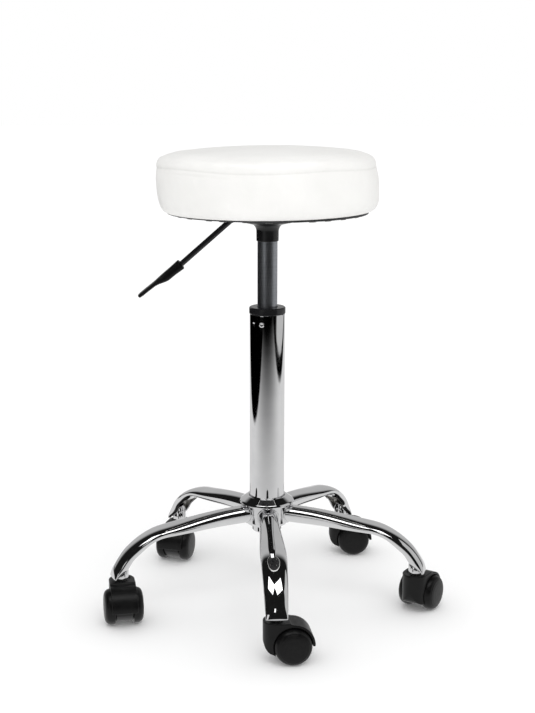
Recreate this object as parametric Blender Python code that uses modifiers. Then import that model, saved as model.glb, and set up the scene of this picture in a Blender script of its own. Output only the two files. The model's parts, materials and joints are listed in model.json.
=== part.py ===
"""Rolling salon stool: round padded seat on a gas lift, five tubular legs, twin-wheel casters.

Metres, +Z up. The origin is on the column axis at floor level, and the seat's release lever
points along -X. Every loose piece of the stool is an object of its own.
"""
import math

import bmesh
import bpy
from mathutils import Matrix, Vector

# Driving dimensions
GAP = 0.0003
LEG_COUNT = 5
CASTER_RADIUS = 0.2196
FRONT_LEG_ANGLE = -86.6
CASTER_YAWS = (8, 57, 2, -105, -78)
WHEEL_RADIUS = 0.025
CASTER_TRAIL = 0.020
WHEEL_SIDES = 16
RECESS_RADIUS = 0.0260
WEB_HALF_WIDTH = 0.0120
NECK_TOP = 0.057
NECK_RADIUS = 0.018
LEG_WALL = 0.0016
HUB_RADIUS = 0.0325
HUB_BOTTOM = 0.114
HUB_TOP = 0.1444
TUBE_RADIUS = 0.025
TUBE_BORE = 0.0235
TUBE_BOTTOM = 0.103
TUBE_TOP = 0.4237
CAP_TOP = 0.433
LIFT_RADIUS = 0.014
LIFT_TOP = 0.5475
LIFT_BOTTOM = 0.250
ROD_RADIUS = 0.005
PLATE_Z = 0.5630
PLATE_SIZE = 0.160
PLATE_THICKNESS = 0.0023
BOLT_SPREAD = 0.060
BOARD_RADIUS = 0.138
BOARD_BOTTOM = 0.5673
BOARD_TOP = 0.577
SEAT_RADIUS = 0.1533
SEAT_TOP = 0.656
LEVER_RADIUS = 0.004
LEVER_Z = 0.5555
LEVER_PIVOT_X = -0.024
LEVER_SLOPE = math.radians(41.4)
HANDLE_SLOPE = math.radians(36.9)
HANDLE_START = Vector((-0.1206, 0, 0.4930))

# Leg stations from hub to tip: reach, height of the top line, depth, width
LEG_STATIONS = (
    (0.0280, 0.1428, 0.0246, 0.0280),
    (0.0600, 0.1412, 0.0240, 0.0288),
    (0.0920, 0.1379, 0.0222, 0.0310),
    (0.1200, 0.1336, 0.0200, 0.0338),
    (0.1450, 0.1294, 0.0170, 0.0360),
    (0.1650, 0.1256, 0.0150, 0.0360),
    (0.1850, 0.1178, 0.0150, 0.0350),
    (0.2030, 0.1065, 0.0170, 0.0338),
    (0.2170, 0.0935, 0.0170, 0.0324),
    (0.2270, 0.0795, 0.0170, 0.0310),
    (0.2323, 0.0690, 0.0110, 0.0300),
    (0.2340, 0.0615, 0.0060, 0.0290),
)
LEG_OPEN_FROM = 6
LEG_SIDES = 12

# Handle stations along its axis: distance, upper edge, lower edge, width
HANDLE_STATIONS = (
    (0.0000, 0.0075, -0.0076, 0.0155),
    (0.0168, 0.0059, -0.0073, 0.0170),
    (0.0296, 0.0051, -0.0080, 0.0200),
    (0.0370, 0.0044, -0.0054, 0.0225),
    (0.0455, 0.0034, -0.0029, 0.0240),
    (0.0600, 0.0029, -0.0031, 0.0250),
    (0.0700, 0.0025, -0.0035, 0.0240),
    (0.0750, 0.0021, -0.0032, 0.0200),
    (0.0764, 0.0010, -0.0022, 0.0140),
)


def clear_scene():
    for item in list(bpy.data.objects):
        bpy.data.objects.remove(item)


def new_collection(name):
    group = bpy.data.collections.new(name)
    bpy.context.scene.collection.children.link(group)
    return group


def material(name, color, roughness, metallic):
    mat = bpy.data.materials.new(name)
    mat.use_nodes = True
    shader = mat.node_tree.nodes["Principled BSDF"]
    shader.inputs["Base Color"].default_value = (*color, 1.0)
    shader.inputs["Roughness"].default_value = roughness
    shader.inputs["Metallic"].default_value = metallic
    return mat


clear_scene()
STOOL = new_collection("rolling_stylist_stool")
CUTTERS = new_collection("cutters")
CHROME = material("chrome", (0.80, 0.80, 0.82), 0.06, 1.0)
STEEL = material("satin_steel", (0.48, 0.50, 0.53), 0.30, 1.0)
ZINC = material("zinc_steel", (0.62, 0.62, 0.60), 0.35, 1.0)
BLACK_METAL = material("black_metal", (0.015, 0.015, 0.016), 0.35, 0.0)
BLACK_PLASTIC = material("black_plastic", (0.018, 0.018, 0.019), 0.45, 0.0)
GLOSS_BLACK = material("gloss_black", (0.008, 0.008, 0.009), 0.12, 0.0)
NYLON = material("nylon", (0.75, 0.74, 0.70), 0.5, 0.0)
PLYWOOD = material("plywood", (0.55, 0.38, 0.22), 0.7, 0.0)
CLOTH = material("dust_cloth", (0.03, 0.03, 0.03), 0.9, 0.0)
VINYL = material("white_vinyl", (0.86, 0.86, 0.85), 0.4, 0.0)


def add_object(name, mesh, mat, location=(0, 0, 0), parent=None):
    """Put a mesh into the stool as a named, smooth-shaded piece."""
    if not mesh.materials:
        mesh.materials.append(mat)
        mesh.shade_smooth()
    piece = bpy.data.objects.new(name, mesh)
    piece.location = location
    piece.parent = parent
    STOOL.objects.link(piece)
    return piece


def profile_mesh(name, points, ring):
    """A chain of edges in the XZ plane, closed into a loop when ring is true."""
    shape = bmesh.new()
    verts = [shape.verts.new((x, 0, z)) for x, z in points]
    for start, end in zip(verts, verts[1:]):
        shape.edges.new((start, end))
    if ring:
        shape.edges.new((verts[-1], verts[0]))
    mesh = bpy.data.meshes.new(name)
    shape.to_mesh(mesh)
    shape.free()
    return mesh


def spin(piece, steps):
    """Turn a piece's profile about its local Z."""
    screw = piece.modifiers.new("turn", "SCREW")
    screw.steps = steps
    screw.render_steps = steps
    screw.use_merge_vertices = True
    screw.merge_threshold = 0.00005
    screw.use_smooth_shade = True


def turned(name, points, steps, mat, ring=False, location=(0, 0, 0), parent=None):
    piece = add_object(name, profile_mesh(name, points, ring), mat, location, parent)
    spin(piece, steps)
    return piece


def washer_profile(inner, outer, bottom, top):
    return [(inner, top), (outer, top), (outer, bottom), (inner, bottom)]


def add_cutter(name, mesh):
    cutter = bpy.data.objects.new(name, mesh)
    cutter.hide_render = True
    cutter.display_type = "WIRE"
    CUTTERS.objects.link(cutter)
    return cutter


def box_cutter(name, low, high):
    """A block between two corners."""
    low = Vector(low)
    high = Vector(high)
    shape = bmesh.new()
    place = Matrix.LocRotScale((low + high) / 2, None, high - low)
    bmesh.ops.create_cube(shape, size=1, matrix=place)
    mesh = bpy.data.meshes.new(name)
    shape.to_mesh(mesh)
    shape.free()
    return add_cutter(name, mesh)


def rod_cutter(name, start, end, radius, sides):
    """A cylinder from start to end."""
    start = Vector(start)
    end = Vector(end)
    along = end - start
    place = Matrix.Translation((start + end) / 2) @ along.to_track_quat("Z", "Y").to_matrix().to_4x4()
    shape = bmesh.new()
    bmesh.ops.create_cone(
        shape, cap_ends=True, segments=sides, radius1=radius, radius2=radius,
        depth=along.length, matrix=place,
    )
    mesh = bpy.data.meshes.new(name)
    shape.to_mesh(mesh)
    shape.free()
    return add_cutter(name, mesh)


def prism_mesh(name, outline, half_width):
    """Extrude an outline in XZ, listed counter-clockwise as seen from -Y, to both sides of Y = 0."""
    shape = bmesh.new()
    verts = [shape.verts.new((x, -half_width, z)) for x, z in outline]
    face = shape.faces.new(verts)
    grown = bmesh.ops.extrude_face_region(shape, geom=[face])
    moved = [item for item in grown["geom"] if isinstance(item, bmesh.types.BMVert)]
    bmesh.ops.translate(shape, vec=(0, 2 * half_width, 0), verts=moved)
    bmesh.ops.recalc_face_normals(shape, faces=shape.faces)
    mesh = bpy.data.meshes.new(name)
    shape.to_mesh(mesh)
    shape.free()
    return mesh


def carve(piece, cutter, operation="DIFFERENCE"):
    boolean = piece.modifiers.new(cutter.name, "BOOLEAN")
    boolean.operation = operation
    boolean.object = cutter


def arc(center, radius, start, end, count):
    """Points on an arc in XZ; angles in degrees from +X towards +Z."""
    angles = [math.radians(start + (end - start) * i / count) for i in range(count + 1)]
    return [(center[0] + radius * math.cos(a), center[1] + radius * math.sin(a)) for a in angles]


def leg_angle(index):
    return FRONT_LEG_ANGLE + 360 / LEG_COUNT * index


def superellipse(angle, power):
    """Unit offsets across and up at an angle round a rounded rectangle."""
    across = math.copysign(abs(math.cos(angle)) ** (2 / power), math.cos(angle))
    up = math.copysign(abs(math.sin(angle)) ** (2 / power), math.sin(angle))
    return across, up


def loft_mesh(name, rings, open_from=None, open_faces=(), caps=False):
    """Join rings of points into a skin, leaving some faces out past a given ring."""
    shape = bmesh.new()
    rows = [[shape.verts.new(point) for point in ring] for ring in rings]
    sides = len(rows[0])
    for index in range(len(rows) - 1):
        for side in range(sides):
            if open_from is not None and index >= open_from and side in open_faces:
                continue
            after = (side + 1) % sides
            near, far = rows[index], rows[index + 1]
            shape.faces.new((near[side], near[after], far[after], far[side]))
    if caps:
        shape.faces.new(list(reversed(rows[0])))
        shape.faces.new(rows[-1])
    bmesh.ops.delete(shape, geom=[v for v in shape.verts if not v.link_faces], context="VERTS")
    bmesh.ops.recalc_face_normals(shape, faces=shape.faces)
    mesh = bpy.data.meshes.new(name)
    shape.to_mesh(mesh)
    shape.free()
    return mesh


def leg_normal(index):
    """Unit vector from the leg's top line into the leg, in the XZ plane."""
    before = LEG_STATIONS[max(index - 1, 0)]
    after = LEG_STATIONS[min(index + 1, len(LEG_STATIONS) - 1)]
    along = Vector((after[0] - before[0], after[1] - before[1])).normalized()
    return Vector((along.y, -along.x))


def leg_rings():
    """Cross-sections of the leg: rounded rectangles hung from the top line."""
    rings = []
    for index, (reach, top, depth, width) in enumerate(LEG_STATIONS):
        inward = leg_normal(index)
        ring = []
        for side in range(LEG_SIDES):
            across, up = superellipse(2 * math.pi * (side + 0.5) / LEG_SIDES, 2.6)
            sink = depth / 2 * (1 - up)
            ring.append((reach + inward.x * sink, width / 2 * across, top + inward.y * sink))
        rings.append(ring)
    return rings


def make_legs():
    """Pressed tube legs, closed at the hub end and open underneath towards the tip."""
    underside = (7, 8, 9)
    mesh = loft_mesh("leg", leg_rings(), LEG_OPEN_FROM, underside)
    saddle = rod_cutter("leg_saddle", (0, 0, 0.10), (0, 0, 0.16), HUB_RADIUS + GAP, 48)
    for index in range(LEG_COUNT):
        leg = add_object(f"leg_{index + 1}", mesh, CHROME)
        leg.rotation_euler.z = math.radians(leg_angle(index))
        wall = leg.modifiers.new("wall", "SOLIDIFY")
        wall.thickness = LEG_WALL
        wall.offset = -1
        wall.use_even_offset = True
        carve(leg, saddle)


def socket_roof():
    """Outline of everything above the inside of the leg's outer end."""
    inset = LEG_WALL + 0.0021
    line = []
    for index in range(LEG_OPEN_FROM, len(LEG_STATIONS)):
        inward = leg_normal(index) * inset
        line.append((LEG_STATIONS[index][0] + inward.x, LEG_STATIONS[index][1] + inward.y))
    return line + [(0.26, 0.058), (0.26, 0.15), (0.16, 0.15)]


def make_caster_mounts():
    """Socket tubes welded inside the leg ends, and the steel stems that plug into them."""
    bore = ROD_RADIUS + 0.0008
    socket_mesh = profile_mesh("caster_socket", washer_profile(bore, 0.010, NECK_TOP + 0.001, 0.105), True)
    stem_top = 0.0765
    stem_points = [
        (0, stem_top), (0.0035, stem_top), (0.0055, stem_top - 0.0025), (0.0055, 0.0385), (0, 0.0385),
    ]
    stem_mesh = profile_mesh("caster_stem", stem_points, False)
    for index in range(LEG_COUNT):
        angle = math.radians(leg_angle(index))
        spot = (CASTER_RADIUS * math.cos(angle), CASTER_RADIUS * math.sin(angle), 0)
        roof = add_cutter(f"socket_roof_{index + 1}", prism_mesh("socket_roof", socket_roof(), 0.02))
        roof.rotation_euler.z = angle
        socket = add_object(f"caster_socket_{index + 1}", socket_mesh, CHROME, spot)
        spin(socket, 16)
        carve(socket, roof)
        stem = add_object(f"caster_stem_{index + 1}", stem_mesh, ZINC, spot)
        spin(stem, 12)


def hood_outline():
    """Side view of a caster hood: stem housing in front, arched hood over the wheels behind."""
    axle = (CASTER_TRAIL, WHEEL_RADIUS)
    outer = WHEEL_RADIUS + 0.0046
    toe = [(-0.018, 0.027), (-0.0165, 0.0215), (-0.0125, 0.0170), (-0.0060, 0.0145)]
    web = [(0.004, 0.0092), (0.012, 0.0055), (0.020, 0.0042), (0.028, 0.0055), (0.036, 0.0112)]
    lip = [(0.0418, 0.0175), (0.0453, 0.0238)]
    over = arc(axle, outer, -1.5, 88, 7)
    neck = [(0.018, NECK_TOP - 0.001), (0.017, NECK_TOP), (-0.017, NECK_TOP), (-0.018, NECK_TOP - 0.001)]
    return toe + web + lip + over + neck


def stadium_mesh():
    """Plan view of a caster hood: half round in front, straight sides behind."""
    shape = bmesh.new()
    outline = [(NECK_RADIUS * math.cos(a), NECK_RADIUS * math.sin(a))
               for a in (math.pi / 2 + math.pi * i / 12 for i in range(13))]
    outline += [(0.06, -NECK_RADIUS), (0.06, NECK_RADIUS)]
    verts = [shape.verts.new((x, y, 0)) for x, y in outline]
    face = shape.faces.new(verts)
    grown = bmesh.ops.extrude_face_region(shape, geom=[face])
    moved = [item for item in grown["geom"] if isinstance(item, bmesh.types.BMVert)]
    bmesh.ops.translate(shape, vec=(0, 0, 0.08), verts=moved)
    bmesh.ops.recalc_face_normals(shape, faces=shape.faces)
    mesh = bpy.data.meshes.new("hood_plan")
    shape.to_mesh(mesh)
    shape.free()
    return mesh


def make_hood(name, pivot, hood_mesh, plan_mesh):
    """Caster hood with its web, wheel recesses, stem bore and axle bore."""
    hood = add_object(name, hood_mesh, BLACK_PLASTIC, parent=pivot)
    axle = Vector((CASTER_TRAIL, 0, WHEEL_RADIUS))
    side = Vector((0, 1, 0))
    plan = add_cutter(f"{name}_plan", plan_mesh)
    near, far = side * WEB_HALF_WIDTH, side * 0.030
    recess_near = rod_cutter(f"{name}_recess_a", axle - far, axle - near, RECESS_RADIUS, 28)
    recess_far = rod_cutter(f"{name}_recess_b", axle + near, axle + far, RECESS_RADIUS, 28)
    stem_bore = rod_cutter(f"{name}_stem_bore", (0, 0, 0.0382), (0, 0, 0.07), 0.0058, 12)
    axle_bore = rod_cutter(f"{name}_axle_bore", axle - side * 0.02, axle + side * 0.02, 0.0034, 12)
    for cutter in (plan, recess_near, recess_far, stem_bore, axle_bore):
        cutter.parent = pivot
    carve(hood, plan, "INTERSECT")
    for cutter in (recess_near, recess_far, stem_bore, axle_bore):
        carve(hood, cutter)


def wheel_points():
    """Half section of a wheel, measured outward from the middle of the caster."""
    flat_radius = WHEEL_RADIUS / math.cos(math.pi / WHEEL_SIDES)
    return [
        (0, 0.0287), (0.014, 0.0283), (0.0200, 0.0268), (0.0240, 0.0228), (flat_radius, 0.0180),
        (flat_radius, 0.0126), (0.0034, 0.0126), (0.0034, 0.0256), (0, 0.0256),
    ]


def make_casters():
    """Twin-wheel casters, each on an empty that stands on its swivel axis."""
    hood_mesh = prism_mesh("caster_hood", hood_outline(), NECK_RADIUS + 0.002)
    plan_mesh = stadium_mesh()
    wheel_mesh = profile_mesh("wheel", wheel_points(), False)
    axle_points = [
        (0, 0.0250), (0.0025, 0.0250), (0.0030, 0.0243), (0.0030, -0.0243), (0.0025, -0.0250), (0, -0.0250),
    ]
    axle_mesh = profile_mesh("axle", axle_points, False)
    for index in range(LEG_COUNT):
        angle = math.radians(leg_angle(index))
        pivot = bpy.data.objects.new(f"caster_pivot_{index + 1}", None)
        pivot.location = (CASTER_RADIUS * math.cos(angle), CASTER_RADIUS * math.sin(angle), 0)
        pivot.rotation_euler.z = math.radians(CASTER_YAWS[index])
        STOOL.objects.link(pivot)
        make_hood(f"caster_hood_{index + 1}", pivot, hood_mesh, plan_mesh)
        center = (CASTER_TRAIL, 0, WHEEL_RADIUS)
        axle = add_object(f"axle_{index + 1}", axle_mesh, ZINC, center, pivot)
        axle.rotation_euler.x = math.radians(90)
        spin(axle, 10)
        for label, turn in (("right", 90), ("left", -90)):
            wheel = add_object(f"wheel_{index + 1}_{label}", wheel_mesh, BLACK_PLASTIC, center, pivot)
            wheel.rotation_mode = "ZYX"
            wheel.rotation_euler = (math.radians(turn), 0, math.pi / WHEEL_SIDES)
            spin(wheel, WHEEL_SIDES)


def make_hub():
    """Welded hub under the column, with the dished trim flange round its top."""
    turned("hub_barrel", [
        (TUBE_RADIUS + GAP, HUB_TOP), (HUB_RADIUS, HUB_TOP), (HUB_RADIUS, HUB_BOTTOM + 0.0045),
        (HUB_RADIUS - 0.0035, HUB_BOTTOM), (TUBE_RADIUS - 0.001 + GAP, HUB_BOTTOM),
    ], 24, CHROME, ring=True)
    turned("hub_flange", [
        (0.0254, 0.1552), (0.0264, 0.1568), (0.0280, 0.1566), (0.0380, 0.1494), (0.0394, 0.1470),
        (0.0386, 0.1452), (0.0370, 0.1447), (0.0254, 0.1447),
    ], 24, CHROME, ring=True)


def make_column():
    """Chrome outer tube with its tapered foot, and the cap and guide sleeve at its top."""
    taper_top = HUB_TOP + 0.0016
    turned("column_tube", [
        (TUBE_BORE, TUBE_TOP), (TUBE_RADIUS, TUBE_TOP), (TUBE_RADIUS, taper_top),
        (TUBE_RADIUS - 0.001, HUB_BOTTOM), (0.0212, HUB_BOTTOM - 0.0015), (0.0212, TUBE_BOTTOM + 0.0015),
        (0.0198, TUBE_BOTTOM), (0.0062, TUBE_BOTTOM), (0.0062, TUBE_BOTTOM + 0.003),
        (0.0193, TUBE_BOTTOM + 0.003), (0.0195, HUB_BOTTOM - 0.0025), (0.0220, HUB_BOTTOM + 0.001),
        (TUBE_BORE, taper_top),
    ], 24, CHROME, ring=True)
    turned("column_cap", [
        (0.0145, CAP_TOP), (0.0247, CAP_TOP), (0.02575, CAP_TOP - 0.0012), (0.02575, TUBE_TOP + GAP),
        (0.0145, TUBE_TOP + GAP),
    ], 24, GLOSS_BLACK, ring=True)
    turned("guide_sleeve", washer_profile(LIFT_RADIUS + GAP, TUBE_BORE - GAP, 0.330, TUBE_TOP - 0.0002),
           24, NYLON, ring=True)
    turned("thrust_bearing", washer_profile(ROD_RADIUS + 0.0006, 0.0180, 0.1063, 0.1120), 20, ZINC, ring=True)


def make_piston():
    """Rod that stands on the thrust bearing, its piston, and the clip that holds it in the foot."""
    turned("piston_rod", [
        (0, 0.4130), (0.004, 0.4130), (ROD_RADIUS, 0.4120), (ROD_RADIUS, 0.1168), (0.0090, 0.1168),
        (0.0090, 0.1124), (ROD_RADIUS, 0.1124), (ROD_RADIUS, 0.0990), (0, 0.0990),
    ], 16, STEEL)
    turned("piston", washer_profile(ROD_RADIUS + GAP, 0.0120, 0.4000, 0.4100), 20, BLACK_METAL, ring=True)
    turned("retaining_clip", washer_profile(ROD_RADIUS + GAP, 0.0095, 0.1008, 0.1026), 16, ZINC, ring=True)


def make_lift():
    """Sliding gas cylinder and the release pin in its head."""
    turned("gas_cylinder", [
        (0.0034, LIFT_TOP), (0.0125, LIFT_TOP), (LIFT_RADIUS, LIFT_TOP - 0.0015),
        (LIFT_RADIUS, LIFT_BOTTOM + 0.0015), (0.0128, LIFT_BOTTOM), (0.0056, LIFT_BOTTOM),
        (0.0056, LIFT_BOTTOM + 0.012), (0.0124, LIFT_BOTTOM + 0.012), (0.0124, LIFT_TOP - 0.012),
        (0.0034, LIFT_TOP - 0.012),
    ], 20, STEEL, ring=True)
    turned("valve_pin", [
        (0, 0.5512), (0.0016, 0.5512), (0.0030, 0.5500), (0.0030, 0.5410), (0, 0.5410),
    ], 12, ZINC)


def make_seat_socket():
    """Pressed cup under the seat: neck over the cylinder, flared dish, lever ears and lever slot."""
    socket = turned("seat_socket", [
        (0.0403, 0.5627), (0.0425, 0.5627), (0.0425, 0.5555), (0.0410, 0.5535), (0.0337, 0.5520),
        (0.0200, 0.5487), (0.0170, 0.5450), (0.0157, 0.5412), (0.0155, 0.5262), (0.0150, 0.5257),
        (LIFT_RADIUS + GAP, 0.5257), (LIFT_RADIUS + GAP, 0.5484), (0.0190, 0.5512), (0.0330, 0.5545),
        (0.0395, 0.5562), (0.0403, 0.5570),
    ], 20, BLACK_METAL, ring=True)
    for label, side in (("near", -1), ("far", 1)):
        low = (-0.0290, min(side * 0.0050, side * 0.0080), 0.5512)
        high = (-0.0190, max(side * 0.0050, side * 0.0080), 0.5615)
        carve(socket, box_cutter(f"lever_ear_{label}", low, high), "UNION")
    carve(socket, box_cutter("lever_slot", (-0.0520, -0.0046, 0.5485), (-0.0100, 0.0046, 0.5640)))
    pivot = Vector((LEVER_PIVOT_X, 0, LEVER_Z))
    across = Vector((0, 0.012, 0))
    carve(socket, rod_cutter("ear_bore", pivot - across, pivot + across, 0.0024, 12))


def bolt_spots():
    return [(x * BOLT_SPREAD, y * BOLT_SPREAD) for x in (-1, 1) for y in (-1, 1)]


def make_bolts_and_bores():
    """Four seat bolts, and the bores they need in the plate, the cloth and the board."""
    points = [
        (0, 0.5752), (0.0029, 0.5752), (0.0029, 0.5627), (0.0060, 0.5627), (0.0060, 0.5592),
        (0.0046, 0.5582), (0, 0.5582),
    ]
    mesh = profile_mesh("seat_bolt", points, False)
    bores = []
    for index, (x, y) in enumerate(bolt_spots()):
        bolt = add_object(f"seat_bolt_{index + 1}", mesh, ZINC, (x, y, 0))
        spin(bolt, 10)
        bores.append(rod_cutter(f"bolt_bore_{index + 1}", (x, y, 0.5500), (x, y, 0.5757), 0.0034, 12))
    return bores


def make_seat(bores):
    """Mounting plate, dust cloth, board and cushion."""
    plate_mesh = bpy.data.meshes.new("seat_plate")
    shape = bmesh.new()
    middle = Vector((0, 0, PLATE_Z + PLATE_THICKNESS / 2))
    place = Matrix.LocRotScale(middle, None, Vector((PLATE_SIZE, PLATE_SIZE, PLATE_THICKNESS)))
    bmesh.ops.create_cube(shape, size=1, matrix=place)
    upright = [e for e in shape.edges if abs(e.verts[0].co.z - e.verts[1].co.z) > PLATE_THICKNESS / 2]
    bmesh.ops.bevel(shape, geom=upright, offset=0.012, segments=4, affect="EDGES", profile=0.5)
    shape.to_mesh(plate_mesh)
    shape.free()
    plate = add_object("seat_plate", plate_mesh, BLACK_METAL)
    cloth = turned("dust_cover", washer_profile(0.045, 0.1405, 0.5656, 0.5670), 32, CLOTH, ring=True)
    board = turned("seat_board", [
        (0, BOARD_TOP), (BOARD_RADIUS, BOARD_TOP), (BOARD_RADIUS, BOARD_BOTTOM), (0, BOARD_BOTTOM),
    ], 40, PLYWOOD)
    for piece in (plate, cloth, board):
        for bore in bores:
            carve(piece, bore)
    lip = 0.5678
    turned("seat_cushion", [
        (0, SEAT_TOP), (0.040, SEAT_TOP), (0.085, 0.6532), (0.118, 0.6500), (0.138, 0.6448), (0.1475, 0.6385),
        (0.1515, 0.6300), (SEAT_RADIUS, 0.6120), (SEAT_RADIUS, 0.5980), (0.1518, 0.5840), (0.1480, 0.5730),
        (0.1430, lip), (BOARD_RADIUS + 0.0004, lip), (BOARD_RADIUS + 0.0004, BOARD_TOP + GAP),
        (0, BOARD_TOP + GAP),
    ], 40, VINYL)


def lever_route():
    """Centre line of the lever rod: level over the release pin, then down towards the handle."""
    bend = 0.012
    corner_x = HANDLE_START.x + (LEVER_Z - HANDLE_START.z) / math.tan(LEVER_SLOPE)
    reach = bend * math.tan(LEVER_SLOPE / 2)
    start = Vector((corner_x + reach, 0, LEVER_Z - bend))
    curve = [start + Vector((-math.sin(a), 0, math.cos(a))) * bend
             for a in (LEVER_SLOPE * i / 4 for i in range(5))]
    down = Vector((-math.cos(LEVER_SLOPE), 0, -math.sin(LEVER_SLOPE)))
    level = [Vector((0.0025, 0, LEVER_Z)), Vector((-0.030, 0, LEVER_Z))]
    return level + curve + [HANDLE_START + down * 0.013]


def make_lever():
    """Release lever rod on its cross pin, with a moulded paddle handle."""
    pivot = Vector((LEVER_PIVOT_X, 0, LEVER_Z))
    data = bpy.data.curves.new("lever_rod", "CURVE")
    data.dimensions = "3D"
    data.bevel_depth = LEVER_RADIUS
    data.bevel_resolution = 3
    data.use_fill_caps = True
    route = lever_route()
    spline = data.splines.new("POLY")
    spline.points.add(len(route) - 1)
    for point, place in zip(spline.points, route):
        point.co = (*(place - pivot), 1)
    wire = bpy.data.objects.new("lever_wire", data)
    STOOL.objects.link(wire)
    wire.location = pivot
    bpy.context.view_layer.update()
    mesh = bpy.data.meshes.new_from_object(wire.evaluated_get(bpy.context.evaluated_depsgraph_get()))
    bpy.data.objects.remove(wire)
    shape = bmesh.new()
    shape.from_mesh(mesh)
    bmesh.ops.remove_doubles(shape, verts=shape.verts, dist=0.00002)
    bmesh.ops.recalc_face_normals(shape, faces=shape.faces)
    shape.to_mesh(mesh)
    shape.free()
    rod = add_object("lever_rod", mesh, BLACK_METAL, pivot)
    across = Vector((0, 0.01, 0))
    carve(rod, rod_cutter("rod_bore", pivot - across, pivot + across, 0.0023, 12))
    pin = turned("lever_pin", [(0, 0.0090), (0.0019, 0.0090), (0.0019, -0.0090), (0, -0.0090)], 12, ZINC,
                 location=pivot)
    pin.rotation_euler.x = math.radians(90)
    make_handle(pivot)


def make_handle(pivot):
    """Paddle handle: a ferrule that thins into a flat blade."""
    along = Vector((-math.cos(HANDLE_SLOPE), 0, -math.sin(HANDLE_SLOPE)))
    above = Vector((-math.sin(HANDLE_SLOPE), 0, math.cos(HANDLE_SLOPE)))
    rings = []
    for distance, upper, lower, width in HANDLE_STATIONS:
        middle = HANDLE_START - pivot + along * distance + above * ((upper + lower) / 2)
        ring = []
        for side in range(14):
            across, up = superellipse(2 * math.pi * side / 14, 2.8)
            ring.append(middle + Vector((0, width / 2 * across, 0)) + above * ((upper - lower) / 2 * up))
        rings.append(ring)
    handle = add_object("lever_handle", loft_mesh("lever_handle", rings, caps=True), BLACK_PLASTIC, pivot)
    down = Vector((-math.cos(LEVER_SLOPE), 0, -math.sin(LEVER_SLOPE)))
    mouth = HANDLE_START - down * 0.010
    end = HANDLE_START + down * 0.0136
    carve(handle, rod_cutter("handle_bore", mouth, end, LEVER_RADIUS + 0.0004, 16))


make_hub()
make_column()
make_legs()
make_caster_mounts()
make_casters()
make_piston()
make_lift()
make_seat_socket()
make_seat(make_bolts_and_bores())
make_lever()
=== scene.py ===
"""Looks of the rolling stylist stool: round vinyl seat, gas lift, chrome star base, twin-wheel casters.

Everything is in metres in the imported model's frame: +Z is up, the origin is on the floor under the
column, and the release lever points along -X.
"""
import json
import math

import bmesh
import bpy
import numpy as np
from mathutils import Matrix, Vector, noise


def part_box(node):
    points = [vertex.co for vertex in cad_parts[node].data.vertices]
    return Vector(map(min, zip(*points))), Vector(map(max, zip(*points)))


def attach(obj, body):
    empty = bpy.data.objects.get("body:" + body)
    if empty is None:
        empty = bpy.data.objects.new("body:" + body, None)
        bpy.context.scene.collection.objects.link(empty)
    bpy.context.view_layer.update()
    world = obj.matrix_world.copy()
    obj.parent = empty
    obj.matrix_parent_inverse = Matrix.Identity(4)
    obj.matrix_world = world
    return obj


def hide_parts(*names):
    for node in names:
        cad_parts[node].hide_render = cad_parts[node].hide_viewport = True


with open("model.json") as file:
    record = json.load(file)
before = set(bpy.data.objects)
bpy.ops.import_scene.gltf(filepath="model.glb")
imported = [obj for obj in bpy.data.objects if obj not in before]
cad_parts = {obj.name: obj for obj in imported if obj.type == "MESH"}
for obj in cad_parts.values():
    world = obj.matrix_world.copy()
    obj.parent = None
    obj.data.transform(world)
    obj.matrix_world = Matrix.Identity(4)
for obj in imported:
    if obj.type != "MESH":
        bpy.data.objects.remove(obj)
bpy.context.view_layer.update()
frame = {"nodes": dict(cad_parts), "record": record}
MM = 0.001

# ---- camera

CAMERA_AT = Vector((0.0004, -1.7911, 0.7434))
CAMERA_PITCH = math.radians(12.06)
CAMERA_ROLL = 0.0028
CAMERA_LENS = 65.04


def make_camera():
    data = bpy.data.cameras.new("camera")
    data.lens = CAMERA_LENS
    data.sensor_width = 36
    data.clip_end = 60
    camera = bpy.data.objects.new("camera", data)
    bpy.context.scene.collection.objects.link(camera)
    tilt = Matrix.Rotation(math.pi / 2 - CAMERA_PITCH, 4, "X")
    camera.matrix_world = Matrix.Translation(CAMERA_AT) @ tilt @ Matrix.Rotation(CAMERA_ROLL, 4, "Z")
    bpy.context.scene.camera = camera


make_camera()

# ---- materials


class Graph:
    """Short ways to add linked nodes to a node tree."""

    def __init__(self, tree):
        self.nodes = tree.nodes
        self.links = tree.links

    def feed(self, socket, value):
        """Give an input a plain value, or link another node's output to it."""
        if isinstance(value, bpy.types.NodeSocket):
            self.links.new(value, socket)
        else:
            socket.default_value = value

    def add(self, kind, inputs=None, **settings):
        """A new node with these settings, and these values or links on its inputs."""
        node = self.nodes.new("ShaderNode" + kind)
        for name, value in settings.items():
            setattr(node, name, value)
        for name, value in (inputs or {}).items():
            self.feed(node.inputs[name], value)
        return node

    def math(self, operation, first, second):
        return self.add("Math", {0: first, 1: second}, operation=operation).outputs["Value"]

    def spread(self, value, source, target=(0, 1), smooth=False):
        """Map a value from the range source to the range target."""
        labels = ("Value", "From Min", "From Max", "To Min", "To Max")
        inputs = dict(zip(labels, (value, *source, *target)))
        curve = "SMOOTHSTEP" if smooth else "LINEAR"
        return self.add("MapRange", inputs, interpolation_type=curve).outputs["Result"]


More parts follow.
